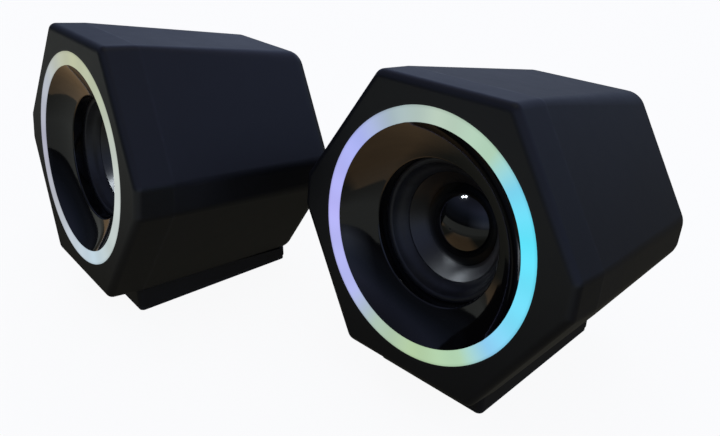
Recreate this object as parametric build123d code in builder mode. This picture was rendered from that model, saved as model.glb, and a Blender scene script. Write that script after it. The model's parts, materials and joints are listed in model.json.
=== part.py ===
from build123d import *
import os
from math import asin, cos, radians, sin, tan

# A pair of desktop speakers: an eight-sided cabinet each, a lit ring round a glossy
# funnel, and a two-inch driver. The right one is the main speaker, with the amplifier
# and the controls. The left one is its satellite, joined by a link cable.
#
# Every piece is modelled in the frame of one speaker: X to the listener's right,
# Y from the front face back into the cabinet, Z up, origin where the driver's axis
# meets the front face. Turned pieces are drawn as (radius, depth) and revolved about Y.
# Both speakers lean back on a wedge foot. They are then placed on the desk, with the
# origin under the middle of the right foot. Sizes are in millimetres and degrees.

# --- driving dimensions ------------------------------------------------------------
ring_outer_radius = 45.0
ring_inner_radius = 39.4
ring_flange_radius = 47.0
ring_flange_front = 2.2
ring_rear = 3.4
ring_gap = 0.1

half_height = 52.5
top_half_width = 27.8
side_half_width = 58.6
side_facet_half_height = 6.25
bottom_half_width = 28.8
bottom_drop = 53.0
collar_depth = 15.5
cabinet_depth = 96.5
rear_scale = 0.894
rear_bottom_extra = 2.0
panel_shift = -0.8
front_corner_radius = 4.0
rear_corner_radius = 9.0
front_edge_radius = 3.0
rear_edge_radius = 7.5
wall = 2.5
front_wall = 3.0
trim_boss_radius = 3.3
frame_boss_radius = 3.0
frame_boss_rear = 12.5
front_pilot_radius = 1.1
ledge_boss_radius = 3.8
cover_boss_radius = 3.4
cover_boss_length = 11.0
small_pilot_radius = 0.95

lean_back = 7.2
foot_half_width = 25.2
foot_front = 16.4
foot_rear = 93.1
foot_front_drop = 65.28
foot_corner_radius = 2.5
foot_edge_radius = 0.6
pad_thickness = 1.5
pad_inset = 0.4

left_x = -143.1
left_y = -49.3
left_yaw = -6.0

funnel_mouth_radius = 39.3
throat_radius = 26.3
throat_front = 7.9
throat_rear = 12.5
funnel_flange_radius = 46.5
flange_front = 9.8
flange_rear = 11.8

led_count = 18
led_circle_radius = 42.9
led_board_outer_radius = 46.0
led_board_inner_radius = 40.6
led_size = 3.4
led_height = 1.5
board_thickness = 1.6

driver_rim_radius = 31.0
driver_rim_thickness = 1.0
gasket_inner_radius = 26.5
gasket_thickness = 0.8
basket_radius = 24.5
basket_wall = 1.2
basket_neck_radius = 18.0
motor_seat_radius = 12.0
cone_outer_radius = 20.0
cone_front = 18.0
cap_radius = 15.2
cap_depth = 23.4
cap_height = 6.6
coil_radius = 10.3
slide_gap = 0.05
coil_front = 26.6
spider_front = 29.1
motor_front = 32.5

panel_scale = 0.73
panel_gap = 0.005
opening_scale = 0.67
knob_x, knob_z = -7.0, 13.0
button_x, button_z = 13.0, 13.0
socket_z = -13.0
power_x, line_in_x, link_x = -13.0, 0.0, 13.0
cable_radius = 1.9

BACK = (0, 1, 0)
SIDES = (-1, 1)

# --- places derived from them ------------------------------------------------------
lean_slope = tan(radians(lean_back))
foot_middle = (foot_front + foot_rear) / 2
foot_middle_drop = foot_front_drop - (foot_middle - foot_front) * lean_slope
right_place = Rot(X=-lean_back) * Pos(0, -foot_middle, foot_middle_drop)
left_place = Pos(left_x, left_y, 0) * Rot(Z=left_yaw) * right_place

panel_inner = cabinet_depth - 3.5
panel_outer = cabinet_depth - 1.0
board_rear = cabinet_depth - 16.5
board_front = board_rear - board_thickness
trim_circle_radius = 51.5
trim_screw_spots = [
    (trim_circle_radius * cos(radians(angle)), trim_circle_radius * sin(radians(angle)))
    for angle in (62, 118, -60, -120)
]
frame_screw_spots = [(x * 49.6, z * 7.6) for x in SIDES for z in SIDES]
frame_screw_seat = 17.0
cover_screw_spots = [(x * 20.0, z * 34.0 + panel_shift) for x in SIDES for z in SIDES]
driver_screw_spots = [(x * 20.4, z * 20.4) for x in SIDES for z in SIDES]
board_screw_spots = [(x * 22.5, z * 16.5) for x in SIDES for z in SIDES]
foot_screw_depths = (30.0, 76.0)
foot_screw_drop = 3.5
base_plane = Plane(
    origin=(0, foot_middle, -foot_middle_drop),
    x_dir=(1, 0, 0),
    z_dir=(0, -sin(radians(lean_back)), cos(radians(lean_back))),
)
foot_length = (foot_rear - foot_front) / cos(radians(lean_back))


def at_depth(depth):
    """Plane facing the front at this depth: its x is X and its y is Z."""
    return Plane.XZ.offset(-depth)


def cabinet_section(scale=1.0, corner=front_corner_radius, inset=0.0, extra=0.0, shift=0.0):
    """Eight-sided section of the cabinet, drawn in from the edge by an inset.

    The extra drops its bottom edge by that much and its side corners by half as much.
    """
    top = half_height * scale + shift
    bottom = -bottom_drop * scale + shift - extra
    facet_top = side_facet_half_height * scale + shift - extra / 2
    facet_bottom = -side_facet_half_height * scale + shift - extra / 2
    points = [
        (-top_half_width * scale, top),
        (top_half_width * scale, top),
        (side_half_width * scale, facet_top),
        (side_half_width * scale, facet_bottom),
        (bottom_half_width * scale, bottom),
        (-bottom_half_width * scale, bottom),
        (-side_half_width * scale, facet_bottom),
        (-side_half_width * scale, facet_top),
    ]
    with BuildSketch() as section:
        with BuildLine():
            Polyline(*points, close=True)
        make_face()
        fillet(section.vertices(), corner)
        if inset:
            offset(amount=-inset, kind=Kind.INTERSECTION)
    return section.sketch


def rear_section():
    """The cabinet's section at its rear end."""
    return cabinet_section(rear_scale, rear_corner_radius, extra=rear_bottom_extra)


def section_between(depth, inset=0.0):
    """The tapered cabinet's section at a depth behind the collar."""
    share = (depth - collar_depth) / (cabinet_depth - collar_depth)
    scale = 1.0 + (rear_scale - 1.0) * share
    corner = front_corner_radius + (rear_corner_radius - front_corner_radius) * share
    return cabinet_section(scale, corner, inset, rear_bottom_extra * share)


def underside(depth):
    """Height of the tapered cabinet's flat underside at a depth."""
    share = (depth - collar_depth) / (cabinet_depth - collar_depth)
    return -bottom_drop * (1.0 + (rear_scale - 1.0) * share) - rear_bottom_extra * share


def screw_group(spots, seat, head_radius, head_height, shank_radius, length, point=-1):
    """Cross-head screws on one seat depth, pointing forwards (-1) or backwards (+1)."""
    to_head = (0, -point, 0)
    recess = head_height * 0.5
    with BuildPart() as group:
        with BuildSketch(at_depth(seat)):
            with Locations(*spots):
                Circle(head_radius)
        extrude(amount=head_height, dir=to_head)
        with BuildSketch(at_depth(seat)):
            with Locations(*spots):
                Circle(shank_radius)
        extrude(amount=length, dir=(0, point, 0))
        with BuildSketch(at_depth(seat - point * (head_height - recess))):
            with Locations(*spots):
                Rectangle(head_radius * 1.1, head_radius * 0.28)
                Rectangle(head_radius * 0.28, head_radius * 1.1)
        extrude(amount=recess, dir=to_head, mode=Mode.SUBTRACT)
    return group


def write_piece(piece, node):
    """Write one piece, already placed on the desk, under its node name."""
    piece.label = node
    export_step(piece, f"parts/{node}.step")


def write_right(builder, node):
    """Write a piece that only the main speaker has."""
    builder.part.label = node
    write_piece(right_place * builder.part, node)


def write_left(builder, node):
    """Write a piece that only the satellite has."""
    builder.part.label = node
    write_piece(left_place * builder.part, node)


def write_pair(builder, node):
    """Write a piece that both speakers have, once for each."""
    builder.part.label = node
    write_piece(right_place * builder.part, f"right_{node}")
    write_piece(left_place * builder.part, f"left_{node}")


def write_shared(builder, node):
    """Write the fasteners of both speakers as one group of solids."""
    solids = (right_place * builder.part).solids() + (left_place * builder.part).solids()
    write_piece(Compound(children=list(solids)), node)


os.makedirs("parts", exist_ok=True)

# --- front frame: front face, collar and the screw bosses behind the face -------------
with BuildPart() as front_frame:
    with BuildSketch(at_depth(0)):
        add(cabinet_section())
    extrude(amount=collar_depth, dir=BACK)
    fillet(front_frame.faces().sort_by(Axis.Y)[0].edges(), front_edge_radius)
    with BuildSketch(at_depth(front_wall)):
        add(cabinet_section(inset=wall))
    extrude(amount=collar_depth, dir=BACK, mode=Mode.SUBTRACT)
    with BuildSketch(at_depth(front_wall)):
        with Locations(*trim_screw_spots):
            Circle(trim_boss_radius)
    extrude(amount=flange_front - front_wall, dir=BACK)
    with BuildSketch(at_depth(front_wall)):
        with Locations(*frame_screw_spots):
            Circle(frame_boss_radius)
    extrude(amount=frame_boss_rear - front_wall, dir=BACK)
    with BuildSketch(at_depth(front_wall + 1.0)):
        with Locations(*trim_screw_spots, *frame_screw_spots):
            Circle(front_pilot_radius)
    extrude(amount=collar_depth, dir=BACK, mode=Mode.SUBTRACT)
    with BuildSketch(at_depth(-1)):
        Circle(ring_outer_radius)
    extrude(amount=front_wall + 1, dir=BACK, mode=Mode.SUBTRACT)
    with BuildSketch(at_depth(ring_flange_front)):
        Circle(ring_flange_radius + ring_gap)
    extrude(amount=front_wall - ring_flange_front, dir=BACK, mode=Mode.SUBTRACT)
write_pair(front_frame, "front_frame")

# --- light ring: milky diffuser, flush with the face, with a flange behind it ---------
with BuildPart() as light_ring:
    with BuildSketch(Plane.XY):
        with BuildLine():
            Polyline(
                (ring_inner_radius, 0),
                (ring_outer_radius - ring_gap, 0),
                (ring_outer_radius - ring_gap, ring_flange_front),
                (ring_flange_radius, ring_flange_front),
                (ring_flange_radius, ring_rear),
                (ring_inner_radius, ring_rear),
                close=True,
            )
        make_face()
    revolve(axis=Axis.Y)
write_pair(light_ring, "light_ring")

# --- ring board and its light-emitting chips -----------------------------------------
with BuildPart() as led_board:
    with BuildSketch(at_depth(flange_front - board_thickness)):
        Circle(led_board_outer_radius)
        Circle(led_board_inner_radius, mode=Mode.SUBTRACT)
    extrude(amount=board_thickness, dir=BACK)
write_pair(led_board, "led_board")

with BuildPart() as leds:
    with BuildSketch(at_depth(flange_front - board_thickness - led_height)):
        with PolarLocations(led_circle_radius, led_count):
            Rectangle(led_size, led_size)
    extrude(amount=led_height, dir=BACK)
write_pair(leds, "leds")

# --- funnel: glossy bowl from the light ring down to the driver -----------------------
mouth_front = 0.3
mouth_rear = 2.8
bowl_middle = (33.2, 4.9)
throat_lip = 0.6
driver_seat_radius = 33.0
skirt_radius = 35.5
skirt_front = 6.0
trim_ear_radius = 3.7
ear_inner_radius = 40.0
trim_hole_radius = 1.5
seat_pilot_radius = 0.9
seat_pilot_depth = 3.2
with BuildPart() as funnel:
    with BuildSketch(Plane.XY):
        with BuildLine():
            ThreePointArc(
                (funnel_mouth_radius, mouth_front),
                bowl_middle,
                (throat_radius + throat_lip, throat_front - throat_lip / 2),
            )
            ThreePointArc(
                (throat_radius + throat_lip, throat_front - throat_lip / 2),
                (throat_radius + throat_lip / 4, throat_front),
                (throat_radius, throat_front + throat_lip),
            )
            Polyline(
                (throat_radius, throat_front + throat_lip),
                (throat_radius, throat_rear),
                (driver_seat_radius, throat_rear),
                (driver_seat_radius, flange_rear),
                (funnel_flange_radius, flange_rear),
                (funnel_flange_radius, flange_front),
                (skirt_radius, flange_front),
                (skirt_radius, skirt_front),
                (funnel_mouth_radius, mouth_rear),
                (funnel_mouth_radius, mouth_front),
            )
        make_face()
    revolve(axis=Axis.Y)
    with BuildSketch(at_depth(flange_front)):
        with Locations(*trim_screw_spots, *[(x * 0.93, z * 0.93) for x, z in trim_screw_spots]):
            Circle(trim_ear_radius)
        Circle(ear_inner_radius, mode=Mode.SUBTRACT)
    extrude(amount=flange_rear - flange_front, dir=BACK)
    with BuildSketch(at_depth(flange_front)):
        with Locations(*trim_screw_spots):
            Circle(trim_hole_radius)
    extrude(amount=flange_rear, dir=BACK, mode=Mode.SUBTRACT)
    with BuildSketch(at_depth(throat_rear - seat_pilot_depth)):
        with Locations(*driver_screw_spots):
            Circle(seat_pilot_radius)
    extrude(amount=seat_pilot_depth, dir=BACK, mode=Mode.SUBTRACT)
write_pair(funnel, "funnel")

# --- driver: gasket, basket, surround, cone, cap, coil, spider and motor ---------------
with BuildPart() as driver_gasket:
    with BuildSketch(at_depth(throat_rear)):
        Circle(driver_rim_radius)
        Circle(gasket_inner_radius, mode=Mode.SUBTRACT)
        with Locations(*driver_screw_spots):
            Circle(1.5, mode=Mode.SUBTRACT)
    extrude(amount=gasket_thickness, dir=BACK)
write_pair(driver_gasket, "driver_gasket")

basket_front = throat_rear + gasket_thickness
spider_seat = spider_front + 0.7
window_width = 26.0
window_depth = 6.0
tag_strip_x = 28.5
tag_strip_length = 5.0
with BuildPart() as driver_basket:
    with BuildSketch(Plane.XY):
        with BuildLine():
            Polyline(
                (driver_rim_radius, basket_front),
                (basket_radius, basket_front),
                (basket_radius, spider_seat),
                (basket_neck_radius, spider_seat),
                (basket_neck_radius, motor_front - driver_rim_thickness),
                (motor_seat_radius, motor_front - driver_rim_thickness),
                (motor_seat_radius, motor_front),
                (basket_neck_radius + basket_wall, motor_front),
                (basket_neck_radius + basket_wall, spider_seat + basket_wall),
                (basket_radius + basket_wall, spider_seat + basket_wall),
                (basket_radius + basket_wall, basket_front + driver_rim_thickness),
                (driver_rim_radius, basket_front + driver_rim_thickness),
                close=True,
            )
        make_face()
    revolve(axis=Axis.Y)
    with BuildSketch(at_depth(basket_front)):
        with Locations(*driver_screw_spots):
            Circle(1.4)
    extrude(amount=driver_rim_thickness, dir=BACK, mode=Mode.SUBTRACT)
    with BuildSketch(at_depth(basket_front + 3.0)):
        with PolarLocations(basket_radius, 4):
            Rectangle(window_depth, window_width)
    extrude(amount=spider_front - basket_front - 5.0, dir=BACK, mode=Mode.SUBTRACT)
    with BuildSketch(at_depth(basket_front + driver_rim_thickness)):
        with Locations((tag_strip_x, 0)):
            RectangleRounded(3.0, 12.0, 0.8)
    extrude(amount=tag_strip_length, dir=BACK)
write_pair(driver_basket, "driver_basket")

surround_rim_radius = 26.2
surround_roll_radius = 24.2
rubber = 0.7
with BuildPart() as surround:
    with BuildSketch(Plane.XY):
        with BuildLine():
            Polyline(
                (surround_rim_radius, basket_front),
                (surround_rim_radius, basket_front - rubber),
                (surround_roll_radius, basket_front - rubber),
            )
            Spline(
                (surround_roll_radius, basket_front - rubber),
                (22.6, basket_front + 1.6),
                (cone_outer_radius + slide_gap, cone_front - 0.2),
            )
            Polyline(
                (cone_outer_radius + slide_gap, cone_front - 0.2),
                (cone_outer_radius + slide_gap, cone_front + 0.6),
            )
            Spline(
                (cone_outer_radius + slide_gap, cone_front + 0.6),
                (22.3, basket_front + 2.7),
                (surround_roll_radius, basket_front),
            )
            Line((surround_roll_radius, basket_front), (surround_rim_radius, basket_front))
        make_face()
    revolve(axis=Axis.Y)
write_pair(surround, "surround")

paper = 0.85
with BuildPart() as cone:
    with BuildSketch(Plane.XY):
        with BuildLine():
            Polyline(
                (cone_outer_radius, cone_front),
                (cap_radius, cap_depth),
                (coil_radius, coil_front),
                (coil_radius, coil_front + paper),
                (cap_radius, cap_depth + paper),
                (cone_outer_radius, cone_front + paper),
                close=True,
            )
        make_face()
    revolve(axis=Axis.Y)
write_pair(cone, "cone")

cap_thickness = 0.5
cap_lift = 0.25
dome_radius = (cap_radius**2 + cap_height**2) / (2 * cap_height)
dome_centre = cap_depth - cap_lift - cap_height + dome_radius
rim_angle = asin(cap_radius / dome_radius)


def on_dome(inward, share):
    """Point of the cap's dome, from its middle (0) to its rim (1), this far inside it."""
    radius = dome_radius - inward
    return radius * sin(rim_angle * share), dome_centre - radius * cos(rim_angle * share)


with BuildPart() as dust_cap:
    with BuildSketch(Plane.XY):
        with BuildLine():
            ThreePointArc(on_dome(0, 0), on_dome(0, 0.5), on_dome(0, 1))
            Line(on_dome(0, 1), on_dome(cap_thickness, 1))
            ThreePointArc(on_dome(cap_thickness, 1), on_dome(cap_thickness, 0.5), on_dome(cap_thickness, 0))
            Line(on_dome(cap_thickness, 0), on_dome(0, 0))
        make_face()
    revolve(axis=Axis.Y)
write_pair(dust_cap, "dust_cap")

with BuildPart() as voice_coil:
    with BuildSketch(Plane.XY):
        with BuildLine():
            Polyline(
                (coil_radius - 0.35, coil_front),
                (coil_radius, coil_front),
                (coil_radius, motor_front - 1.2),
                (coil_radius + 0.45, motor_front - 1.2),
                (coil_radius + 0.45, motor_front + 4.2),
                (coil_radius - 0.35, motor_front + 4.2),
                close=True,
            )
        make_face()
    revolve(axis=Axis.Y)
write_pair(voice_coil, "voice_coil")

spider_pitch = 2.2
spider_wave = 0.5
spider_thickness = 0.4
wave_radii = [coil_radius + slide_gap + 0.2 + spider_pitch * step / 2 for step in range(12)]
with BuildPart() as spider:
    with BuildSketch(Plane.XY):
        front_line = [
            (radius, spider_front - spider_wave * (step % 2)) for step, radius in enumerate(wave_radii)
        ]
        back_line = [(radius, depth + spider_thickness) for radius, depth in reversed(front_line)]
        with BuildLine():
            Polyline(
                (coil_radius + slide_gap, spider_front),
                *front_line,
                (basket_radius - 0.2, spider_seat - spider_thickness),
                (basket_radius - 0.2, spider_seat),
                *back_line,
                (coil_radius + slide_gap, spider_front + spider_thickness),
                close=True,
            )
        make_face()
    revolve(axis=Axis.Y)
write_pair(spider, "spider")

plate_thickness = 3.0
plate_radius = 21.0
magnet_thickness = 8.5
magnet_radius = 24.0
magnet_bore = 14.0
pole_radius = 9.3
yoke_radius = 21.5
yoke_front = motor_front + plate_thickness + magnet_thickness
with BuildPart() as top_plate:
    with BuildSketch(at_depth(motor_front)):
        Circle(plate_radius)
        Circle(coil_radius + 0.8, mode=Mode.SUBTRACT)
    extrude(amount=plate_thickness, dir=BACK)
    chamfer(top_plate.faces().sort_by(Axis.Y)[0].edges().sort_by(SortBy.RADIUS)[-1], 0.5)
write_pair(top_plate, "top_plate")

with BuildPart() as magnet:
    with BuildSketch(at_depth(motor_front + plate_thickness)):
        Circle(magnet_radius)
        Circle(magnet_bore, mode=Mode.SUBTRACT)
    extrude(amount=magnet_thickness, dir=BACK)
    chamfer(magnet.edges().filter_by(GeomType.CIRCLE).group_by(SortBy.RADIUS)[-1], 0.6)
write_pair(magnet, "magnet")

with BuildPart() as yoke:
    with BuildSketch(Plane.XY):
        with BuildLine():
            Polyline(
                (0, motor_front),
                (pole_radius - 0.3, motor_front),
                (pole_radius, motor_front + 0.3),
                (pole_radius, yoke_front),
                (yoke_radius, yoke_front),
                (yoke_radius, yoke_front + plate_thickness - 0.6),
                (yoke_radius - 0.6, yoke_front + plate_thickness),
                (0, yoke_front + plate_thickness),
                close=True,
            )
        make_face()
    revolve(axis=Axis.Y)
write_pair(yoke, "yoke")

# --- housing: tapered shell with a round-edged rear rim, ledges and screw bosses -------
cavity_rear = cabinet_depth - 5.5
lip_inset = 3.8
with BuildPart() as housing:
    with BuildSketch(at_depth(collar_depth)):
        add(cabinet_section())
    with BuildSketch(at_depth(cabinet_depth)):
        add(rear_section())
    loft()
    fillet(housing.faces().sort_by(Axis.Y)[-1].edges(), rear_edge_radius)
    with BuildSketch(at_depth(collar_depth + 3)):
        add(section_between(collar_depth + 3, inset=wall))
    with BuildSketch(at_depth(cavity_rear)):
        add(section_between(cavity_rear, inset=wall))
    loft(mode=Mode.SUBTRACT)
    with BuildSketch(at_depth(collar_depth - 0.1)):
        add(cabinet_section(inset=lip_inset))
    extrude(amount=3.2, dir=BACK, mode=Mode.SUBTRACT)
    with BuildSketch(at_depth(collar_depth - wall)):
        add(cabinet_section(inset=wall + 0.1))
        add(cabinet_section(inset=lip_inset), mode=Mode.SUBTRACT)
    extrude(amount=wall + 0.5, dir=BACK)
    with BuildSketch(at_depth(frame_boss_rear + 0.1)):
        with Locations(*frame_screw_spots):
            Circle(ledge_boss_radius)
    extrude(amount=frame_screw_seat - frame_boss_rear - 0.1, dir=BACK)
    with BuildSketch(at_depth(frame_boss_rear - 0.5)):
        with Locations(*frame_screw_spots):
            Circle(1.6)
    extrude(amount=frame_screw_seat - frame_boss_rear + 1.5, dir=BACK, mode=Mode.SUBTRACT)
    with BuildSketch(at_depth(panel_inner)):
        add(cabinet_section(panel_scale + panel_gap, shift=panel_shift))
    extrude(amount=cabinet_depth, dir=BACK, mode=Mode.SUBTRACT)
    with BuildSketch(at_depth(cavity_rear - 1)):
        add(cabinet_section(opening_scale, shift=panel_shift))
    extrude(amount=cabinet_depth, dir=BACK, mode=Mode.SUBTRACT)
    with BuildSketch(at_depth(panel_inner - cover_boss_length)):
        with Locations(*cover_screw_spots):
            Circle(cover_boss_radius)
    extrude(amount=cover_boss_length, dir=BACK)
    with BuildSketch(at_depth(panel_inner - cover_boss_length)):
        with Locations(*cover_screw_spots):
            Circle(small_pilot_radius)
    extrude(amount=cover_boss_length + 1, dir=BACK, mode=Mode.SUBTRACT)
    for depth in foot_screw_depths:
        with BuildSketch(Plane.XY.offset(underside(depth) + 1.0)):
            with Locations((0, depth)):
                Circle(3.5)
        extrude(amount=8.0)
        with BuildSketch(Plane.XY.offset(underside(depth) - 2.0)):
            with Locations((0, depth)):
                Circle(1.15)
        extrude(amount=9.5, mode=Mode.SUBTRACT)
write_pair(housing, "housing")

# --- back covers: a plain one, then the main speaker's and the satellite's -------------
panel_thickness = panel_outer - panel_inner
with BuildPart() as plain_cover:
    with BuildSketch(at_depth(panel_inner)):
        add(cabinet_section(panel_scale, shift=panel_shift))
        with Locations(*cover_screw_spots):
            Circle(1.3, mode=Mode.SUBTRACT)
    extrude(amount=panel_thickness, dir=BACK)
    chamfer(plain_cover.faces().sort_by(Axis.Y)[-1].outer_wire().edges(), 0.5)
    with BuildSketch(at_depth(panel_outer - 1.3)):
        with Locations(*cover_screw_spots):
            Circle(2.5)
    extrude(amount=2.0, dir=BACK, mode=Mode.SUBTRACT)

control_recess_width = 46.0
control_recess_height = 20.0
bushing_hole_radius = 4.6
button_hole_radius = 3.5
socket_hole_radius = 3.1
power_slot_width, power_slot_height = 9.4, 3.6
with BuildPart() as main_cover:
    add(plain_cover.part)
    with BuildSketch(at_depth(board_rear)):
        with Locations(*board_screw_spots):
            Circle(3.0)
    extrude(amount=panel_inner - board_rear, dir=BACK)
    with BuildSketch(at_depth(board_rear)):
        with Locations(*board_screw_spots):
            Circle(0.95)
    extrude(amount=9.0, dir=BACK, mode=Mode.SUBTRACT)
    with BuildSketch(at_depth(panel_outer - 0.6)):
        with Locations((0, knob_z), (0, socket_z)):
            RectangleRounded(control_recess_width, control_recess_height, 4.0)
    extrude(amount=2.0, dir=BACK, mode=Mode.SUBTRACT)
    with BuildSketch(at_depth(panel_inner - 1)):
        with Locations((knob_x, knob_z)):
            Circle(bushing_hole_radius)
        with Locations((button_x, button_z)):
            Circle(button_hole_radius)
        with Locations((line_in_x, socket_z), (link_x, socket_z)):
            Circle(socket_hole_radius)
        with Locations((power_x, socket_z)):
            RectangleRounded(power_slot_width, power_slot_height, power_slot_height / 2 - 0.1)
    extrude(amount=panel_thickness + 2, dir=BACK, mode=Mode.SUBTRACT)
write_right(main_cover, "right_back_cover")

grommet_hole_radius = 4.0
with BuildPart() as satellite_cover:
    add(plain_cover.part)
    with BuildSketch(at_depth(panel_inner - 1)):
        with Locations((0, socket_z)):
            Circle(grommet_hole_radius)
    extrude(amount=panel_thickness + 2, dir=BACK, mode=Mode.SUBTRACT)
write_left(satellite_cover, "left_back_cover")

# --- amplifier board with its components, switch, sockets and potentiometer ------------
board_width, board_height = 52.0, 40.0
with BuildPart() as amplifier_board:
    with BuildSketch(at_depth(board_front)):
        RectangleRounded(board_width, board_height, 1.5)
        with Locations(*board_screw_spots):
            Circle(1.4, mode=Mode.SUBTRACT)
    extrude(amount=board_thickness, dir=BACK)
write_right(amplifier_board, "amplifier_board")

capacitor_spots = [(-14.0, 8.0), (-14.0, -2.0), (14.0, 8.0)]
capacitor_radius = 4.0
capacitor_height = 10.0
chip_height = 2.0
with BuildPart() as board_components:
    with BuildSketch(at_depth(board_front - capacitor_height)):
        with Locations(*capacitor_spots):
            Circle(capacitor_radius)
    extrude(amount=capacitor_height, dir=BACK)
    with BuildSketch(at_depth(board_front - chip_height)):
        with Locations((2.0, 6.0)):
            Rectangle(8.0, 8.0)
        with Locations((13.0, -6.0), (13.0, -11.0)):
            Rectangle(4.0, 3.0)
    extrude(amount=chip_height, dir=BACK)
write_right(board_components, "board_components")

pot_body_rear = board_rear + 6.5
bushing_bore = 3.0
with BuildPart() as volume_pot:
    with BuildSketch(at_depth(board_rear)):
        with Locations((knob_x, knob_z)):
            Rectangle(11.0, 11.0)
    extrude(amount=pot_body_rear - board_rear, dir=BACK)
    with BuildSketch(at_depth(pot_body_rear)):
        with Locations((knob_x, knob_z)):
            Circle(4.5)
    extrude(amount=panel_outer - 0.3 - pot_body_rear, dir=BACK)
    with BuildSketch(at_depth(pot_body_rear - 3.0)):
        with Locations((knob_x, knob_z)):
            Circle(bushing_bore)
    extrude(amount=20.0, dir=BACK, mode=Mode.SUBTRACT)
write_right(volume_pot, "volume_pot")

knob_front = panel_outer + 0.8
knob_length = 11.0
knob_radius = 8.0
shaft_rear = knob_front + 8.0
with BuildPart() as volume_shaft:
    with BuildSketch(at_depth(pot_body_rear - 2.5)):
        with Locations((knob_x, knob_z)):
            Circle(bushing_bore - slide_gap)
    extrude(amount=shaft_rear - pot_body_rear + 2.5, dir=BACK)
write_right(volume_shaft, "volume_shaft")

with BuildPart() as volume_knob:
    with BuildSketch(at_depth(knob_front)):
        with Locations((knob_x, knob_z)):
            Circle(knob_radius)
    extrude(amount=knob_length, dir=BACK)
    fillet(volume_knob.faces().sort_by(Axis.Y)[-1].edges(), 1.2)
    with BuildSketch(at_depth(knob_front)):
        with Locations((knob_x, knob_z)):
            with PolarLocations(knob_radius + 0.35, 24):
                Circle(0.75)
    extrude(amount=knob_length - 2.0, dir=BACK, mode=Mode.SUBTRACT)
    with BuildSketch(at_depth(knob_front + knob_length - 0.6)):
        with Locations((knob_x, knob_z + knob_radius * 0.6)):
            Rectangle(1.0, knob_radius * 0.55)
    extrude(amount=1.0, dir=BACK, mode=Mode.SUBTRACT)
    with BuildSketch(at_depth(knob_front)):
        with Locations((knob_x, knob_z)):
            Circle(bushing_bore - slide_gap)
    extrude(amount=shaft_rear - knob_front, dir=BACK, mode=Mode.SUBTRACT)
write_right(volume_knob, "volume_knob")

switch_rear = board_rear + 9.5
plunger_radius = 1.6
button_front = panel_inner - 1.3
with BuildPart() as light_switch:
    with BuildSketch(at_depth(board_rear)):
        with Locations((button_x, button_z)):
            Rectangle(6.0, 6.0)
    extrude(amount=switch_rear - board_rear, dir=BACK)
    with BuildSketch(at_depth(switch_rear - 2.5)):
        with Locations((button_x, button_z)):
            Circle(plunger_radius + slide_gap)
    extrude(amount=5.0, dir=BACK, mode=Mode.SUBTRACT)
write_right(light_switch, "light_switch")

with BuildPart() as switch_plunger:
    with BuildSketch(at_depth(switch_rear - 1.4)):
        with Locations((button_x, button_z)):
            Circle(plunger_radius)
    extrude(amount=button_front - switch_rear + 1.4, dir=BACK)
write_right(switch_plunger, "switch_plunger")

button_radius = 3.43
with BuildPart() as light_button:
    with BuildSketch(at_depth(button_front)):
        with Locations((button_x, button_z)):
            Circle(4.6)
    extrude(amount=1.0, dir=BACK)
    with BuildSketch(at_depth(button_front + 1.0)):
        with Locations((button_x, button_z)):
            Circle(button_radius)
    extrude(amount=panel_outer + 1.6 - button_front - 1.0, dir=BACK)
    fillet(light_button.faces().sort_by(Axis.Y)[-1].edges(), 0.6)
write_right(light_button, "light_button")

with BuildPart() as power_socket:
    with BuildSketch(at_depth(board_rear)):
        with Locations((power_x, socket_z)):
            Rectangle(9.0, 8.0)
    extrude(amount=panel_inner - 0.3 - board_rear, dir=BACK)
    with BuildSketch(at_depth(panel_inner - 0.3)):
        with Locations((power_x, socket_z)):
            RectangleRounded(9.0, 3.2, 1.55)
    extrude(amount=panel_thickness, dir=BACK)
    with BuildSketch(at_depth(panel_outer - 7.0)):
        with Locations((power_x, socket_z)):
            RectangleRounded(8.4, 2.6, 1.25)
            RectangleRounded(6.6, 0.7, 0.3, mode=Mode.SUBTRACT)
    extrude(amount=8.0, dir=BACK, mode=Mode.SUBTRACT)
write_right(power_socket, "power_socket")

socket_bore = 1.8
with BuildPart() as audio_sockets:
    with BuildSketch(at_depth(board_rear)):
        with Locations((line_in_x, socket_z), (link_x, socket_z)):
            Rectangle(9.0, 8.0)
    extrude(amount=panel_inner - 0.3 - board_rear, dir=BACK)
    with BuildSketch(at_depth(panel_inner - 0.3)):
        with Locations((line_in_x, socket_z), (link_x, socket_z)):
            Circle(3.0)
    extrude(amount=panel_thickness + 0.6, dir=BACK)
    with BuildSketch(at_depth(board_rear + 1.5)):
        with Locations((line_in_x, socket_z), (link_x, socket_z)):
            Circle(socket_bore)
    extrude(amount=20.0, dir=BACK, mode=Mode.SUBTRACT)
write_right(audio_sockets, "audio_sockets")

# --- link cable: plug in the main speaker, grommet in the satellite --------------------
socket_face = panel_outer + 0.3
plug_rear = socket_face + 26.0
plug_radius = 4.3
plug_grip_length = 16.0
boot_radius = 2.6
with BuildPart() as link_plug:
    with BuildSketch(Plane.XY):
        with BuildLine():
            Polyline(
                (0, board_rear + 3.5),
                (socket_bore - slide_gap, board_rear + 4.5),
                (socket_bore - slide_gap, socket_face),
                (plug_radius - 0.4, socket_face),
                (plug_radius, socket_face + 0.6),
                (plug_radius, socket_face + plug_grip_length),
                (boot_radius + 0.3, socket_face + plug_grip_length + 1.5),
                (boot_radius, plug_rear),
                (0, plug_rear),
                close=True,
            )
        make_face()
    revolve(axis=Axis.Y)
link_plug.part.label = "link_plug"
write_piece(right_place * Pos(link_x, 0, socket_z) * link_plug.part, "link_plug")

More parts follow.
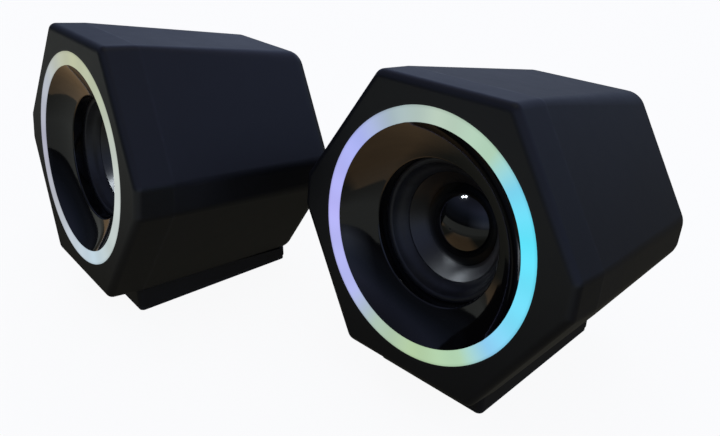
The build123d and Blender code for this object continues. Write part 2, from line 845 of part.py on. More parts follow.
grommet_rear = panel_outer + 7.0
grommet_flange_radius = 4.8
grommet_neck_radius = grommet_hole_radius - 0.1
with BuildPart() as cable_grommet:
    with BuildSketch(Plane.XY):
        with BuildLine():
            Polyline(
                (cable_radius + slide_gap, panel_inner - 2.0),
                (grommet_flange_radius, panel_inner - 2.0),
                (grommet_flange_radius, panel_inner - 0.1),
                (grommet_neck_radius, panel_inner - 0.1),
                (grommet_neck_radius, panel_outer + 0.1),
                (grommet_flange_radius, panel_outer + 0.1),
                (grommet_flange_radius, panel_outer + 1.2),
                (3.2, grommet_rear),
                (cable_radius + slide_gap, grommet_rear),
                close=True,
            )
        make_face()
    revolve(axis=Axis.Y)
cable_grommet.part.label = "cable_grommet"
write_piece(left_place * Pos(0, 0, socket_z) * cable_grommet.part, "cable_grommet")

plug_end = right_place * Pos(link_x, plug_rear, socket_z)
cable_inner_end = left_place * Pos(0, 80.0, socket_z)
grommet_mouth = left_place * Pos(0, grommet_rear + 2.0, socket_z)
cable_middle = Vector(-62, 130, cable_radius + 1.3)
backwards = Vector(0, 1, 0)
right_way = backwards.rotate(Axis.X, -lean_back)
left_way = right_way.rotate(Axis.Z, left_yaw)
with BuildPart() as link_cable:
    with BuildLine():
        Spline(
            plug_end.position,
            cable_middle,
            grommet_mouth.position,
            tangents=(right_way, -left_way),
        )
        Line(grommet_mouth.position, cable_inner_end.position)
    with BuildSketch(Plane(origin=plug_end.position, z_dir=right_way)):
        Circle(cable_radius)
    sweep()
link_cable.part.label = "link_cable"
write_piece(link_cable.part, "link_cable")

# --- wires from the driver's tag strip to the back of the cabinet ----------------------
wire_radius = 0.7
tag_rear = basket_front + driver_rim_thickness + tag_strip_length + 0.1
with BuildPart() as driver_wires:
    for side in SIDES:
        with BuildLine():
            Spline(
                (tag_strip_x, tag_rear, side * 3.0),
                (30.0, 34.0, -4.0 + side * 2.4),
                (22.0, 58.0, -12.0 + side * 1.6),
                (6.0 + side * 1.2, board_front - 0.3, socket_z),
                tangents=((0.1, 1, 0), (-0.2, 1, 0)),
            )
        with BuildSketch(Plane(origin=(tag_strip_x, tag_rear, side * 3.0), z_dir=(0.1, 1, 0))):
            Circle(wire_radius)
        sweep()
write_pair(driver_wires, "driver_wires")

# --- foot and its rubber pad ----------------------------------------------------------
with BuildPart() as foot:
    with BuildSketch(base_plane.offset(pad_thickness)):
        RectangleRounded(2 * foot_half_width, foot_length, foot_corner_radius)
    extrude(amount=2 * (foot_front_drop - half_height))
    fillet(foot.faces().sort_by(Axis(base_plane.origin, base_plane.z_dir))[0].edges(), foot_edge_radius)
    with BuildSketch(Plane.YZ):
        with BuildLine():
            Polyline(
                (0, underside(collar_depth)),
                (collar_depth, underside(collar_depth)),
                (cabinet_depth, underside(cabinet_depth)),
                (cabinet_depth, 0),
                (0, 0),
                close=True,
            )
        make_face()
    extrude(amount=half_height, both=True, mode=Mode.SUBTRACT)
    for depth in foot_screw_depths:
        with BuildSketch(Plane.XY.offset(underside(depth) - foot_screw_drop)):
            with Locations((0, depth)):
                Circle(3.4)
        extrude(amount=-20.0, mode=Mode.SUBTRACT)
        with BuildSketch(Plane.XY.offset(underside(depth) - 4.0)):
            with Locations((0, depth)):
                Circle(1.6)
        extrude(amount=8.0, mode=Mode.SUBTRACT)
write_pair(foot, "foot")

with BuildPart() as foot_pad:
    with BuildSketch(base_plane):
        RectangleRounded(
            2 * (foot_half_width - pad_inset),
            foot_length - 2 * pad_inset,
            foot_corner_radius - pad_inset,
        )
    extrude(amount=pad_thickness)
write_pair(foot_pad, "foot_pad")

# --- fasteners ------------------------------------------------------------------------
trim_screws = screw_group(
    trim_screw_spots, flange_rear, head_radius=2.6, head_height=1.6, shank_radius=1.0, length=6.5
)
write_shared(trim_screws, "trim_screws")
frame_screws = screw_group(
    frame_screw_spots, frame_screw_seat, head_radius=2.6, head_height=1.6, shank_radius=1.0, length=11.0
)
write_shared(frame_screws, "frame_screws")
driver_screw_seat = basket_front + driver_rim_thickness
driver_screws = screw_group(
    driver_screw_spots, driver_screw_seat, head_radius=1.9, head_height=1.2, shank_radius=0.85, length=4.6
)
write_shared(driver_screws, "driver_screws")
cover_screws = screw_group(
    cover_screw_spots, panel_outer - 1.3, head_radius=2.2, head_height=1.2, shank_radius=0.9, length=9.0
)
write_shared(cover_screws, "cover_screws")
board_screws = screw_group(
    board_screw_spots, board_front, head_radius=2.2, head_height=1.4, shank_radius=0.9, length=8.0, point=1
)
write_right(board_screws, "board_screws")

with BuildPart() as foot_screws:
    for depth in foot_screw_depths:
        seat = underside(depth) - foot_screw_drop
        with BuildSketch(Plane.XY.offset(seat)):
            with Locations((0, depth)):
                Circle(3.0)
        extrude(amount=-1.8)
        with BuildSketch(Plane.XY.offset(seat)):
            with Locations((0, depth)):
                Circle(1.1)
        extrude(amount=9.5)
        with BuildSketch(Plane.XY.offset(seat - 1.0)):
            with Locations((0, depth)):
                Rectangle(3.2, 0.8)
                Rectangle(0.8, 3.2)
        extrude(amount=-1.0, mode=Mode.SUBTRACT)
write_shared(foot_screws, "foot_screws")
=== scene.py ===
import json
import math

import bmesh
import bpy
from mathutils import Matrix, Quaternion, Vector


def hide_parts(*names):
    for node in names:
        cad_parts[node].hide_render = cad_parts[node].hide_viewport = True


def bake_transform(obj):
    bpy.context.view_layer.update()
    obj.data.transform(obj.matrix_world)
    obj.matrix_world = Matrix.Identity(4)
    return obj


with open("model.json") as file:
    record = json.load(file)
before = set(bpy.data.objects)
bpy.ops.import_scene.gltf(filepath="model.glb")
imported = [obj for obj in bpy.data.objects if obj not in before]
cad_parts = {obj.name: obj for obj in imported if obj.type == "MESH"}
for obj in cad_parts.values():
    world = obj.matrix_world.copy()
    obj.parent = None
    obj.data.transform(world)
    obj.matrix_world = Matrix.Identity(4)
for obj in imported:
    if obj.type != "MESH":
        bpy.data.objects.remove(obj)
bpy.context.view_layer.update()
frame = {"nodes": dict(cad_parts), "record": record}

# Looks of a pair of desktop speakers: satin black cabinets, lit rings, piano-black
# funnels and two-inch drivers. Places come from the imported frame, in metres.

MM = 0.001
JOINTS = {joint["name"]: joint for joint in frame["record"]["behaviour"]["joints"]}
SIDES = ("right", "left")


# --- places -------------------------------------------------------------------------
class SpeakerFrame:
    """Axes of one speaker: across to the listener's right, forward out of its face, up."""

    def __init__(self, side):
        self.side = side
        self.forward = Vector(JOINTS[f"{side}_cone_travel"]["axis"]).normalized()
        self.across = Vector((0, 0, 1)).cross(self.forward).normalized()
        self.up = self.forward.cross(self.across)
        ring = [v.co for v in frame["nodes"][f"{side}_light_ring"].data.vertices]
        middle = [self.middle_of(ring, axis) for axis in (self.across, self.up)]
        face = max(co.dot(self.forward) for co in ring)
        self.centre = self.across * middle[0] + self.up * middle[1] + self.forward * face
        self.ring_radius = self.reach(self.front_of(ring, face))

    @staticmethod
    def middle_of(points, axis):
        along = [co.dot(axis) for co in points]
        return (min(along) + max(along)) / 2

    def front_of(self, points, face):
        return [co for co in points if face - co.dot(self.forward) < 0.2 * MM]

    def reach(self, points):
        """Largest distance of these points from the speaker's axis."""
        return max(((co - self.centre) - (co - self.centre).dot(self.forward) * self.forward).length for co in points)

    def at(self, x, depth, z):
        """Point given in millimetres: across, back from the face, and up."""
        return self.centre + (self.across * x - self.forward * depth + self.up * z) * MM

    def matrix(self):
        """Local frame as a matrix: X across, Y back, Z up, in metres."""
        back = -self.forward
        rows = [(self.across[i], back[i], self.up[i], self.centre[i]) for i in range(3)]
        return Matrix((*rows, (0, 0, 0, 1)))


FRAMES = {side: SpeakerFrame(side) for side in SIDES}


# --- small node helpers ---------------------------------------------------------------
class Shader:
    """A node material that is built up a line at a time."""

    def __init__(self, name):
        self.material = bpy.data.materials.new(name)
        self.material.use_nodes = True
        self.tree = self.material.node_tree
        self.tree.nodes.clear()
        self.output = self.add("ShaderNodeOutputMaterial")

    def add(self, kind, **settings):
        node = self.tree.nodes.new(kind)
        for key, value in settings.items():
            setattr(node, key, value)
        return node

    def link(self, source, target):
        self.tree.links.new(source, target)

    def place(self, scale=1.0):
        """Position in the row frame, scaled: every texture is laid out in metres."""
        coordinate = self.add("ShaderNodeTexCoord")
        scaled = self.add("ShaderNodeVectorMath", operation="SCALE")
        scaled.inputs["Scale"].default_value = scale
        self.link(coordinate.outputs["Object"], scaled.inputs[0])
        return scaled.outputs[0]

    def noise(self, scale, detail=3.0, roughness=0.5, vector=None):
        """Value noise with this many features per metre."""
        node = self.add("ShaderNodeTexNoise")
        node.inputs["Scale"].default_value = scale
        node.inputs["Detail"].default_value = detail
        node.inputs["Roughness"].default_value = roughness
        self.link(vector or self.place(), node.inputs["Vector"])
        return node.outputs["Fac"]

    def span(self, value, low, high, from_low=0.0, from_high=1.0):
        """Map a value onto a range."""
        node = self.add("ShaderNodeMapRange")
        node.inputs["From Min"].default_value = from_low
        node.inputs["From Max"].default_value = from_high
        node.inputs["To Min"].default_value = low
        node.inputs["To Max"].default_value = high
        self.link(value, node.inputs["Value"])
        return node.outputs["Result"]

    def ramp(self, value, stops, interpolation="LINEAR"):
        """Colour ramp from (position, colour) stops."""
        node = self.add("ShaderNodeValToRGB")
        node.color_ramp.interpolation = interpolation
        elements = node.color_ramp.elements
        while len(elements) < len(stops):
            elements.new(0.5)
        for element, (position, colour) in zip(elements, stops):
            element.position = position
            element.color = (*colour[:3], 1.0)
        self.link(value, node.inputs["Fac"])
        return node.outputs["Color"]

    def blend(self, low, high, share):
        """Mix two colours by a share; the low one may be a socket."""
        node = self.add("ShaderNodeMix", data_type="RGBA")
        if isinstance(low, tuple):
            node.inputs["A"].default_value = (*low, 1.0)
        else:
            self.link(low, [socket for socket in node.inputs if socket.name == "A" and socket.type == "RGBA"][0])
        node.inputs["B"].default_value = (*high, 1.0)
        self.link(share, node.inputs["Factor"])
        return [output for output in node.outputs if output.type == "RGBA"][0]

    def worn_edges(self, radius):
        """Share from 0 on flats to 1 where handling has rubbed the edges."""
        bevel = self.add("ShaderNodeBevel", samples=4)
        bevel.inputs["Radius"].default_value = radius
        agreement = self.add("ShaderNodeVectorMath", operation="DOT_PRODUCT")
        self.link(bevel.outputs["Normal"], agreement.inputs[0])
        self.link(self.add("ShaderNodeNewGeometry").outputs["Normal"], agreement.inputs[1])
        edge = self.span(agreement.outputs["Value"], 1.0, 0.0, 0.93, 0.995)
        patches = self.span(self.noise(180.0, detail=4.0, roughness=0.65), 0.25, 1.0, 0.40, 0.62)
        return self.math("MULTIPLY", edge, patches)

    def math(self, operation, first, second=None):
        node = self.add("ShaderNodeMath", operation=operation)
        for socket, value in zip(node.inputs, (first, second)):
            if value is None:
                continue
            if isinstance(value, (int, float)):
                socket.default_value = value
            else:
                self.link(value, socket)
        return node.outputs[0]

    def bump(self, height, depth, strength=1.0, normal=None):
        """Normal from a height field; depth is its full height in metres."""
        node = self.add("ShaderNodeBump")
        node.inputs["Strength"].default_value = strength
        node.inputs["Distance"].default_value = depth
        self.link(height, node.inputs["Height"])
        if normal is not None:
            self.link(normal, node.inputs["Normal"])
        return node.outputs["Normal"]

    def finish(self, colour, roughness, normal=None, **inputs):
        """Principled surface; plain values and sockets are both accepted."""
        surface = self.add("ShaderNodeBsdfPrincipled")
        given = {"Base Color": colour, "Roughness": roughness, **inputs}
        for key, value in given.items():
            socket = surface.inputs[key]
            if isinstance(value, bpy.types.NodeSocket):
                self.link(value, socket)
            elif isinstance(value, tuple):
                socket.default_value = (*value[:3], 1.0)
            else:
                socket.default_value = value
        if normal is not None:
            self.link(normal, surface.inputs["Normal"])
        self.link(surface.outputs[0], self.output.inputs["Surface"])
        return self.material


def linear(*values):
    """Linear colour from 0-255 screen values."""
    return tuple(((v / 255 + 0.055) / 1.055) ** 2.4 if v > 10 else v / 255 / 12.92 for v in values)


# --- materials --------------------------------------------------------------------
def satin_paint(name, colour, roughness=0.42, grain=2600.0, grain_depth=0.012):
    """Soft-touch paint: fine spray texture, faint handling marks, slightly polished edges."""
    shader = Shader(name)
    spray = shader.noise(grain, detail=2.0)
    cloud = shader.noise(28.0, detail=4.0, roughness=0.6)
    marks = shader.noise(160.0, detail=5.0, roughness=0.65)
    gloss = shader.math("ADD", shader.span(cloud, -0.05, 0.05), shader.span(marks, roughness - 0.03, roughness + 0.04))
    tint = shader.blend(colour, tuple(c * 1.7 for c in colour), shader.span(cloud, 0.0, 1.0, 0.35, 0.65))
    worn = shader.worn_edges(1.6 * MM)
    tint = shader.blend(tint, tuple(c * 3.4 for c in colour), worn)
    gloss = shader.math("SUBTRACT", gloss, shader.span(worn, 0.0, 0.10))
    normal = shader.bump(spray, grain_depth * MM, 0.35)
    return shader.finish(tint, gloss, normal, **{"Specular IOR Level": 0.5})


def moulded_plastic(name, colour, roughness=0.5):
    """Spark-textured moulding: a pebbled grain about a third of a millimetre across."""
    shader = Shader(name)
    pebble = shader.add("ShaderNodeTexVoronoi")
    pebble.inputs["Scale"].default_value = 2800.0
    shader.link(shader.place(), pebble.inputs["Vector"])
    cloud = shader.noise(35.0, detail=4.0)
    tint = shader.blend(colour, tuple(c * 1.8 for c in colour), shader.span(cloud, 0.0, 1.0, 0.35, 0.65))
    worn = shader.worn_edges(0.9 * MM)
    tint = shader.blend(tint, tuple(c * 3.0 for c in colour), worn)
    gloss = shader.span(shader.noise(300.0), roughness - 0.06, roughness + 0.06)
    gloss = shader.math("SUBTRACT", gloss, shader.span(worn, 0.0, 0.08))
    return shader.finish(tint, gloss, shader.bump(pebble.outputs["Distance"], 0.03 * MM, 0.5))


def piano_black():
    """Glossy black moulding with the faint swirls and dust of a polished part."""
    shader = Shader("piano_black")
    haze = shader.noise(60.0, detail=5.0, roughness=0.6)
    dust = shader.noise(5200.0, detail=1.0)
    specks = shader.span(dust, 0.0, 1.0, 0.74, 0.78)
    tint = shader.blend((0.0035, 0.0035, 0.004), (0.05, 0.05, 0.055), specks)
    gloss = shader.math("ADD", shader.span(haze, 0.05, 0.09), shader.span(specks, 0.0, 0.3))
    ripple = shader.bump(shader.noise(90.0, detail=1.0), 0.02 * MM, 0.25)
    return shader.finish(tint, gloss, ripple, **{"Specular IOR Level": 0.5})


def radial(shader, side):
    """(distance from the speaker's axis in metres, turn from the top, clockwise, 0 to 1)."""
    place = FRAMES[side]
    offset = shader.add("ShaderNodeVectorMath", operation="SUBTRACT")
    shader.link(shader.place(), offset.inputs[0])
    offset.inputs[1].default_value = place.centre
    parts = []
    for axis in (place.across, place.up):
        dot = shader.add("ShaderNodeVectorMath", operation="DOT_PRODUCT")
        shader.link(offset.outputs[0], dot.inputs[0])
        dot.inputs[1].default_value = axis
        parts.append(dot.outputs["Value"])
    across, up = parts
    squares = shader.math("ADD", shader.math("MULTIPLY", across, across), shader.math("MULTIPLY", up, up))
    angle = shader.math("ARCTAN2", across, up)
    turn = shader.math("FRACT", shader.math("ADD", shader.math("DIVIDE", angle, 2 * math.pi), 1.0))
    return shader.math("SQRT", squares), turn


RING_COLOURS = {
    "right": [
        (0.00, (181, 200, 183)), (0.09, (172, 206, 180)), (0.14, (118, 210, 238)),
        (0.20, (88, 226, 250)), (0.30, (118, 218, 246)), (0.36, (140, 205, 242)),
        (0.41, (175, 210, 176)), (0.49, (176, 202, 160)), (0.56, (168, 190, 176)),
        (0.62, (176, 182, 238)), (0.74, (180, 177, 245)), (0.86, (168, 176, 240)),
        (0.93, (162, 180, 186)), (1.00, (181, 200, 183)),
    ],
    "left": [
        (0.00, (180, 184, 152)), (0.10, (176, 184, 158)), (0.17, (182, 190, 178)),
        (0.25, (196, 203, 200)), (0.36, (186, 198, 196)), (0.44, (188, 208, 220)),
        (0.54, (190, 200, 210)), (0.62, (176, 180, 188)), (0.74, (168, 168, 186)),
        (0.86, (176, 182, 192)), (0.95, (178, 182, 160)), (1.00, (180, 184, 152)),
    ],
}


def ring_light(side):
    """Milky diffuser lit from behind: colours drift round it, a touch hotter over each chip."""
    shader = Shader(f"{side}_ring_light")
    distance, turn = radial(shader, side)
    wobble = shader.span(shader.noise(24.0, detail=1.0), -0.008, 0.008)
    colour = shader.ramp(
        shader.math("ADD", turn, wobble),
        [(position, linear(*rgb)) for position, rgb in RING_COLOURS[side]],
    )
    chips = 18
    over_chip = shader.math("COSINE", shader.math("MULTIPLY", turn, 2 * math.pi * chips))
    radius = FRAMES[side].ring_radius
    edge = shader.span(distance, 0.0, 1.0, radius - 6.2 * MM, radius - 5.2 * MM)
    outer = shader.span(distance, 1.0, 0.0, radius - 1.0 * MM, radius)
    glow = shader.math("MULTIPLY", shader.span(over_chip, 0.97, 1.03, -1.0, 1.0), shader.span(shader.math("MULTIPLY", edge, outer), 0.82, 1.0))
    return shader.finish(
        (0.06, 0.065, 0.065), 0.28, None,
        **{"Emission Color": colour, "Emission Strength": glow, "Subsurface Weight": 0.0, "Specular IOR Level": 0.4},
    )


def cone_paper(side):
    """Coated black cone: faint concentric pressing lines and a satin sheen."""
    shader = Shader(f"{side}_cone_paper")
    distance, _ = radial(shader, side)
    rings = shader.math("SINE", shader.math("MULTIPLY", distance, 2 * math.pi / (0.55 * MM)))
    fibres = shader.noise(900.0, detail=4.0, roughness=0.7)
    height = shader.math("ADD", shader.span(rings, 0.0, 0.25, -1.0, 1.0), fibres)
    tint = shader.blend((0.004, 0.004, 0.005), (0.010, 0.010, 0.012), fibres)
    gloss = shader.span(shader.noise(70.0, detail=3.0), 0.30, 0.40)
    return shader.finish(tint, gloss, shader.bump(height, 0.02 * MM, 0.35), **{"Specular IOR Level": 0.6})


def rubber(name, colour=(0.012, 0.012, 0.014), roughness=0.42):
    """Satin butyl rubber with a faint moulded bloom."""
    shader = Shader(name)
    bloom = shader.noise(120.0, detail=5.0, roughness=0.65)
    tint = shader.blend(colour, tuple(c * 2.0 for c in colour), shader.span(bloom, 0.0, 1.0, 0.4, 0.7))
    gloss = shader.span(bloom, roughness - 0.07, roughness + 0.07)
    return shader.finish(tint, gloss, shader.bump(shader.noise(3200.0, detail=2.0), 0.01 * MM, 0.4))


def cap_lacquer():
    """Hard gloss lacquer on the dust cap, with a soft orange-peel ripple."""
    shader = Shader("cap_lacquer")
    peel = shader.noise(420.0, detail=1.0)
    haze = shader.noise(80.0, detail=4.0)
    tint = shader.blend((0.0006, 0.0006, 0.0008), (0.0020, 0.0020, 0.0022), haze)
    return shader.finish(tint, shader.span(haze, 0.05, 0.10), shader.bump(peel, 0.006 * MM, 0.2))


def metal(name, colour, roughness=0.35, grain=900.0):
    """Bare or plated metal with directional tool marks and slight staining."""
    shader = Shader(name)
    stretched = shader.add("ShaderNodeMapping")
    stretched.inputs["Scale"].default_value = (0.15, 1.0, 1.0)
    shader.link(shader.place(), stretched.inputs["Vector"])
    lines = shader.noise(grain, detail=3.0, vector=stretched.outputs[0])
    stain = shader.noise(110.0, detail=5.0, roughness=0.65)
    tint = shader.blend(tuple(c * 0.75 for c in colour), colour, shader.span(stain, 0.0, 1.0, 0.3, 0.6))
    gloss = shader.span(lines, roughness - 0.08, roughness + 0.10)
    return shader.finish(tint, gloss, shader.bump(lines, 0.01 * MM, 0.4), **{"Metallic": 1.0})


def circuit_board():
    """Solder-masked board: traces show as faint raised bands under the mask."""
    shader = Shader("circuit_board")
    traces = shader.add("ShaderNodeTexBrick")
    traces.inputs["Scale"].default_value = 220.0
    traces.inputs["Mortar Size"].default_value = 0.06
    shader.link(shader.place(), traces.inputs["Vector"])
    weave = shader.noise(1500.0, detail=2.0)
    tint = shader.blend((0.008, 0.055, 0.022), (0.02, 0.12, 0.05), shader.span(traces.outputs["Fac"], 0.0, 1.0))
    height = shader.math("ADD", shader.span(traces.outputs["Fac"], 0.0, 1.0), shader.span(weave, 0.0, 0.3))
    return shader.finish(tint, shader.span(weave, 0.22, 0.34), shader.bump(height, 0.03 * MM, 0.5))


def woven_cloth(name, colour):
    """Resin-stiffened woven cloth."""
    shader = Shader(name)
    heights = []
    for direction in ("X", "Z"):
        wave = shader.add("ShaderNodeTexWave", bands_direction=direction)
        wave.inputs["Scale"].default_value = 600.0
        shader.link(shader.place(), wave.inputs["Vector"])
        heights.append(wave.outputs["Fac"])
    weave = shader.math("MULTIPLY", *heights)
    tint = shader.blend(tuple(c * 0.6 for c in colour), colour, weave)
    return shader.finish(tint, 0.7, shader.bump(weave, 0.08 * MM, 0.6), **{"Sheen Weight": 0.2})


def ferrite():
    """Sintered magnet: dull, slightly mottled, with fine pits."""
    shader = Shader("ferrite")
    pits = shader.noise(1400.0, detail=5.0, roughness=0.7)
    tint = shader.blend((0.018, 0.018, 0.020), (0.045, 0.045, 0.048), shader.noise(160.0, detail=4.0))
    return shader.finish(tint, shader.span(pits, 0.5, 0.7), shader.bump(pits, 0.04 * MM, 0.5))


def led_resin():
    """Clear resin over a white package, faintly lit."""
    shader = Shader("led_resin")
    cloud = shader.noise(700.0, detail=3.0)
    tint = shader.blend((0.75, 0.75, 0.62), (0.9, 0.9, 0.82), cloud)
    return shader.finish(tint, shader.span(cloud, 0.15, 0.25), None, **{"Emission Color": (0.8, 0.9, 1.0), "Emission Strength": 0.3})


def paint_nodes():
    """Give every carried-over CAD node its material."""
    paint = satin_paint("cabinet_paint", (0.0045, 0.0045, 0.0055))
    shared = {
        "front_frame": paint,
        "housing": paint,
        "led_board": circuit_board(),
        "leds": led_resin(),
        "funnel": piano_black(),
        "driver_gasket": rubber("gasket_foam", (0.02, 0.02, 0.02), 0.7),
        "driver_basket": satin_paint("basket_coat", (0.008, 0.008, 0.009), 0.4, 1200.0, 0.02),
        "dust_cap": cap_lacquer(),
        "voice_coil": metal("enamelled_copper", (0.72, 0.32, 0.14), 0.3, 2400.0),
        "spider": woven_cloth("spider_cloth", (0.45, 0.30, 0.12)),
        "top_plate": metal("zinc_plate", (0.55, 0.56, 0.58), 0.35),
        "yoke": metal("zinc_yoke", (0.52, 0.53, 0.55), 0.38),
        "magnet": ferrite(),
        "driver_wires": rubber("wire_jacket", (0.22, 0.012, 0.012), 0.4),
        "foot": moulded_plastic("foot_plastic", (0.006, 0.006, 0.007), 0.5),
        "foot_pad": rubber("pad_rubber", (0.012, 0.012, 0.012), 0.65),
        "back_cover": moulded_plastic("cover_plastic", (0.008, 0.008, 0.009), 0.46),
    }
    for side in SIDES:
        for part, material in shared.items():
            assign(f"{side}_{part}", material)
        assign(f"{side}_light_ring", ring_light(side))
        assign(f"{side}_cone", cone_paper(side))
    knob = moulded_plastic("knob_plastic", (0.010, 0.010, 0.011), 0.4)
    package = moulded_plastic("component_packages", (0.012, 0.012, 0.013), 0.45)
    oxide = metal("black_oxide", (0.07, 0.07, 0.075), 0.38)
    single = {
        "amplifier_board": circuit_board(),
        "board_components": package,
        "volume_pot": metal("pot_can", (0.5, 0.5, 0.5), 0.4),
        "volume_shaft": metal("turned_aluminium", (0.78, 0.78, 0.8), 0.25),
        "volume_knob": knob,
        "light_switch": package,
        "switch_plunger": knob,
        "light_button": knob,
        "power_socket": metal("socket_shell", (0.6, 0.6, 0.62), 0.25),
        "audio_sockets": package,
        "link_plug": rubber("plug_overmould", (0.012, 0.012, 0.013), 0.5),
        "cable_grommet": rubber("grommet_rubber", (0.010, 0.010, 0.010), 0.6),
        "link_cable": rubber("cable_jacket", (0.010, 0.010, 0.011), 0.42),
        "trim_screws": oxide, "frame_screws": oxide, "driver_screws": oxide,
        "cover_screws": oxide, "board_screws": oxide, "foot_screws": oxide,
    }
    for node, material in single.items():
        assign(node, material)


def assign(node, material):
    """Put one material on every slot of a CAD node."""
    data = frame["nodes"][node].data
    data.materials.clear()
    data.materials.append(material)


# --- surrounds --------------------------------------------------------------------
RUBBER = 0.7
ROLL = {"rim": 26.2, "outer": 24.2, "inner": 20.05, "front": 12.6, "back": 17.8, "sag": 0.45, "tuck": 0.8}


def roll_depth(share):
    """Depth of the rubber roll's front surface, from its rim (0) to the cone (1)."""
    ease = share + 0.06 * math.sin(2 * math.pi * share)
    return ROLL["front"] + (ROLL["back"] - ROLL["front"]) * ease + ROLL["sag"] * math.sin(math.pi * share)


def roll_profile(steps=18):
    """Closed (radius, depth) outline of the moulded rubber surround."""
    shares = [step / steps for step in range(steps + 1)]
    radii = [ROLL["outer"] + (ROLL["inner"] - ROLL["outer"]) * share for share in shares]
    front = [(radius, roll_depth(share)) for radius, share in zip(radii, shares)]
    back = [(radius, roll_depth(share) + RUBBER + 0.1 * share) for radius, share in zip(radii, shares)]
    rim = [(ROLL["rim"], ROLL["front"] + 0.15), (ROLL["rim"] - 0.15, ROLL["front"])]
    return rim + front + back[::-1] + [(ROLL["rim"], ROLL["front"] + RUBBER)]


def lathe(name, profile, matrix, turns=160):
    """Surface of revolution about the driver's axis of a closed (radius, depth) outline."""
    shape = bmesh.new()
    loops = []
    for turn in range(turns):
        angle = 2 * math.pi * turn / turns
        across, up = math.sin(angle), math.cos(angle)
        loops.append([shape.verts.new((r * across * MM, d * MM, r * up * MM)) for r, d in profile])
    for turn, loop in enumerate(loops):
        after = loops[(turn + 1) % turns]
        for index in range(len(profile)):
            following = (index + 1) % len(profile)
            shape.faces.new((loop[index], after[index], after[following], loop[following]))
    bmesh.ops.transform(shape, matrix=matrix, verts=shape.verts)
    bmesh.ops.recalc_face_normals(shape, faces=shape.faces)
    data = bpy.data.meshes.new(name)
    shape.to_mesh(data)
    shape.free()
    data.shade_smooth()
    thing = bpy.data.objects.new(name, data)
    bpy.context.scene.collection.objects.link(thing)
    return thing


def surrounds():
    """Rubber surrounds between the basket's rim and the moving cone."""
    for side in SIDES:
        place = FRAMES[side]
        roll = lathe(f"{side}_rubber_surround", roll_profile(), place.matrix())
        roll.data.materials.append(rubber(f"{side}_surround_rubber"))
        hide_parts(f"{side}_surround")
        place.at(0, 13.4, 0)
        place.at(0, 17.5, 0)
        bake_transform(roll)


# --- stage ------------------------------------------------------------------------
DESK_FAR = (0.34, 0.36, 0.34)
# Painted shadow: the desk's glow right by the speakers, dark where their shade falls.
PAINTED_SHADOW_NEAR = (0.075, 0.072, 0.058)
# Painted reflection: brown glow of the desk, seen only in the glossy parts.
DESK_BROWN = (0.48, 0.30, 0.15)
# Painted shadow: dark glow of the desk between and beside the speakers.
PAINTED_SHADOW_BANDS = (0.03, 0.035, 0.03)
ROOM_COLOURS = [
    (0.0, (0.22, 0.25, 0.31)), (0.12, (0.44, 0.51, 0.69)), (0.20, (0.38, 0.46, 0.66)),
    (0.35, (0.26, 0.33, 0.54)), (0.55, (0.30, 0.35, 0.60)), (0.75, (0.18, 0.20, 0.32)), (1.0, (0.05, 0.05, 0.06)),
]
DIM_SECTORS = [
    (Vector((-0.73, -0.68, 0.0)), (0.15, 0.65), [(0.0, 0.94), (0.25, 0.86), (0.50, 0.52), (0.85, 0.2)]),
    (Vector((0.50, 0.866, 0.0)), (0.50, 0.85), [(0.0, 0.62), (0.18, 0.58), (0.32, 0.20), (0.45, 0.0)]),
]


def floor():
    """Pale floor to the camera; to the object, a glowing desk: grey further off, darker near it with painted shadow.
    """
    bpy.ops.mesh.primitive_plane_add(size=12.0, location=(0, 0, 0))
    plane = bpy.context.object
    plane.name = "floor"
    shader = Shader("floor")
    path = shader.add("ShaderNodeLightPath")
    pale = shader.add("ShaderNodeBsdfDiffuse")
    pale.inputs["Color"].default_value = (0.9, 0.9, 0.9, 1)
    lift = shader.add("ShaderNodeEmission")
    lift.inputs["Color"].default_value = (1, 1, 1, 1)
    lift.inputs["Strength"].default_value = 1.16
    seen = shader.add("ShaderNodeMixShader")
    seen.inputs["Fac"].default_value = 0.8
    shader.link(pale.outputs[0], seen.inputs[1])
    shader.link(lift.outputs[0], seen.inputs[2])
    split = shader.add("ShaderNodeSeparateXYZ")
    shader.link(shader.place(), split.inputs[0])
    # Painted shadow: the desk's glow darkens towards the speakers.
    distance = shader.span(split.outputs["Y"], 0.0, 1.0, -0.30, -0.12)
    desk = shader.add("ShaderNodeEmission")
    shader.link(shader.ramp(distance, [(0.1, DESK_FAR), (0.9, PAINTED_SHADOW_NEAR)]), desk.inputs["Color"])
    both = shader.add("ShaderNodeMixShader")
    shader.link(path.outputs["Is Camera Ray"], both.inputs["Fac"])
    shader.link(desk.outputs[0], both.inputs[1])
    shader.link(seen.outputs[0], both.inputs[2])
    shader.link(both.outputs[0], shader.output.inputs["Surface"])
    plane.data.materials.append(shader.material)


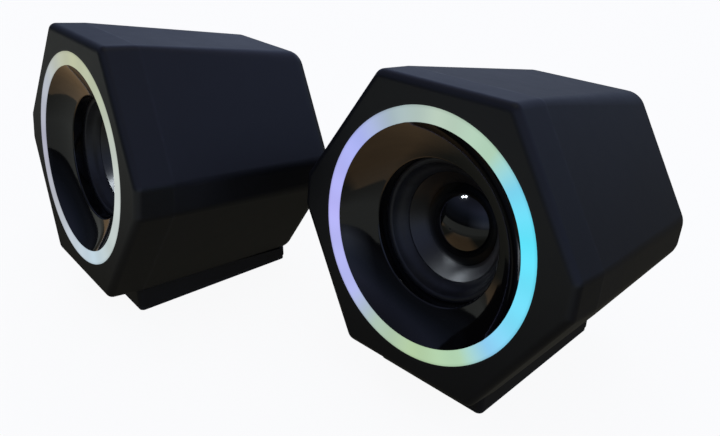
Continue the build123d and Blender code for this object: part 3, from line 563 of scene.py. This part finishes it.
def painted_desk_reflection():
    """Painted reflection of the desk in front: a hidden glowing card, brown with bands of painted shadow, which only
    the glossy funnels, caps and cones pick up.
    """
    bpy.ops.mesh.primitive_plane_add(size=1.0, location=(-0.12, -0.12, 0.0004))
    card = bpy.context.object
    card.name = "painted_desk_reflection"
    card.scale = (0.60, 0.15, 1.0)
    card.visible_camera = False
    card.visible_shadow = False
    shader = Shader("painted_desk_reflection")
    split = shader.add("ShaderNodeSeparateXYZ")
    shader.link(shader.place(), split.inputs[0])
    # Brown painted reflection crossed by bands of painted shadow.
    bands = [
        (0.37, DESK_BROWN), (0.45, PAINTED_SHADOW_BANDS), (0.56, PAINTED_SHADOW_BANDS),
        (0.60, DESK_BROWN), (0.73, DESK_BROWN), (0.78, PAINTED_SHADOW_BANDS),
    ]
    glow = shader.add("ShaderNodeEmission")
    shader.link(shader.ramp(shader.span(split.outputs["X"], 0.0, 1.0, -0.5, 0.5), bands), glow.inputs["Color"])
    shader.link(shader.span(shader.noise(14.0, detail=4.0), 0.75, 1.15), glow.inputs["Strength"])
    both = shader.add("ShaderNodeAddShader")
    shader.link(shader.add("ShaderNodeBsdfTransparent").outputs[0], both.inputs[0])
    shader.link(glow.outputs[0], both.inputs[1])
    shader.link(both.outputs[0], shader.output.inputs["Surface"])
    card.data.materials.append(shader.material)
    card.light_linking.receiver_collection = receivers("glossy_parts", ("funnel", "dust_cap", "cone"))


def receivers(name, parts):
    """Collection of these parts of both speakers, for lights that only they should see."""
    group = bpy.data.collections.new(name)
    for side in SIDES:
        for part in parts:
            group.objects.link(frame["nodes"][f"{side}_{part}"])
    return group


def room():
    """White to the camera; to the object, a cool room, dark overhead and behind the viewer."""
    shader = Shader.__new__(Shader)
    world = bpy.data.worlds.new("room")
    bpy.context.scene.world = world
    world.use_nodes = True
    shader.tree = world.node_tree
    shader.tree.nodes.clear()
    output = shader.add("ShaderNodeOutputWorld")
    path = shader.add("ShaderNodeLightPath")
    direction = shader.add("ShaderNodeTexCoord").outputs["Generated"]
    split = shader.add("ShaderNodeSeparateXYZ")
    shader.link(direction, split.inputs[0])
    dimming = 1.0
    for sector, (edge, core), depths in DIM_SECTORS:
        towards = shader.add("ShaderNodeVectorMath", operation="DOT_PRODUCT")
        shader.link(direction, towards.inputs[0])
        towards.inputs[1].default_value = sector
        share = shader.span(towards.outputs["Value"], 0.0, 1.0, edge, core)
        depth = shader.ramp(split.outputs["Z"], [(place, (value, value, value)) for place, value in depths])
        dimming = shader.math("MULTIPLY", dimming, shader.math("SUBTRACT", 1.0, shader.math("MULTIPLY", share, depth)))
    cool = shader.add("ShaderNodeBackground")
    shader.link(shader.ramp(split.outputs["Z"], ROOM_COLOURS), cool.inputs["Color"])
    shader.link(dimming, cool.inputs["Strength"])
    white = shader.add("ShaderNodeBackground")
    white.inputs["Color"].default_value = (1, 1, 1, 1)
    mix = shader.add("ShaderNodeMixShader")
    shader.link(path.outputs["Is Camera Ray"], mix.inputs["Fac"])
    shader.link(cool.outputs[0], mix.inputs[1])
    shader.link(white.outputs[0], mix.inputs[2])
    shader.link(mix.outputs[0], output.inputs["Surface"])


def softbox(name, place, target, size, power, colour):
    """Area light aimed at a point."""
    data = bpy.data.lights.new(name, "AREA")
    data.shape = "RECTANGLE"
    data.size, data.size_y = size
    data.energy = power
    data.color = colour
    light = bpy.data.objects.new(name, data)
    bpy.context.scene.collection.objects.link(light)
    light.location = place
    aim(light, target)
    return light


def aim(thing, target):
    thing.rotation_euler = (Vector(target) - Vector(thing.location)).to_track_quat("-Z", "Y").to_euler()


def lights():
    """Two small lamps high on the left pick out the drivers; a weak soft fill from above."""
    middle = (FRAMES["right"].centre + FRAMES["left"].centre) / 2
    softbox("overhead", middle + Vector((0.1, 0.2, 1.6)), middle, (1.2, 1.2), 1.5, (0.95, 0.97, 1.0))
    drivers = receivers("driver_parts", ("cone", "dust_cap"))
    for side in SIDES:
        place = FRAMES[side]
        for name, aim_from in (("window", Vector((-0.75, -0.30, 0.58))), ("lamp", Vector((-0.36, -0.54, 0.76)))):
            light = softbox(f"{side}_{name}", place.centre + aim_from * 1.2, place.centre, (0.07, 0.07), 4.5, (0.84, 0.92, 1.0))
            light.light_linking.receiver_collection = drivers


def camera():
    """Close view from the front right and above, at about the height of a seated user."""
    data = bpy.data.cameras.new("camera")
    data.sensor_width = 36.0
    data.lens = 36.74
    data.clip_start = 0.01
    view = bpy.data.objects.new("camera", data)
    bpy.context.scene.collection.objects.link(view)
    view.location = FRAMES["right"].centre + Vector((0.1393, -0.1698, 0.1174))
    look = Vector((-0.6283, 0.6358, -0.4482))
    roll = Quaternion((0, 0, 1), math.radians(0.18))
    view.rotation_euler = (look.to_track_quat("-Z", "Y") @ roll).to_euler()
    bpy.context.scene.camera = view


# --- assembly -----------------------------------------------------------------------
paint_nodes()
surrounds()
floor()
painted_desk_reflection()
room()
lights()
camera()
bpy.context.scene.view_settings.view_transform = "Standard"
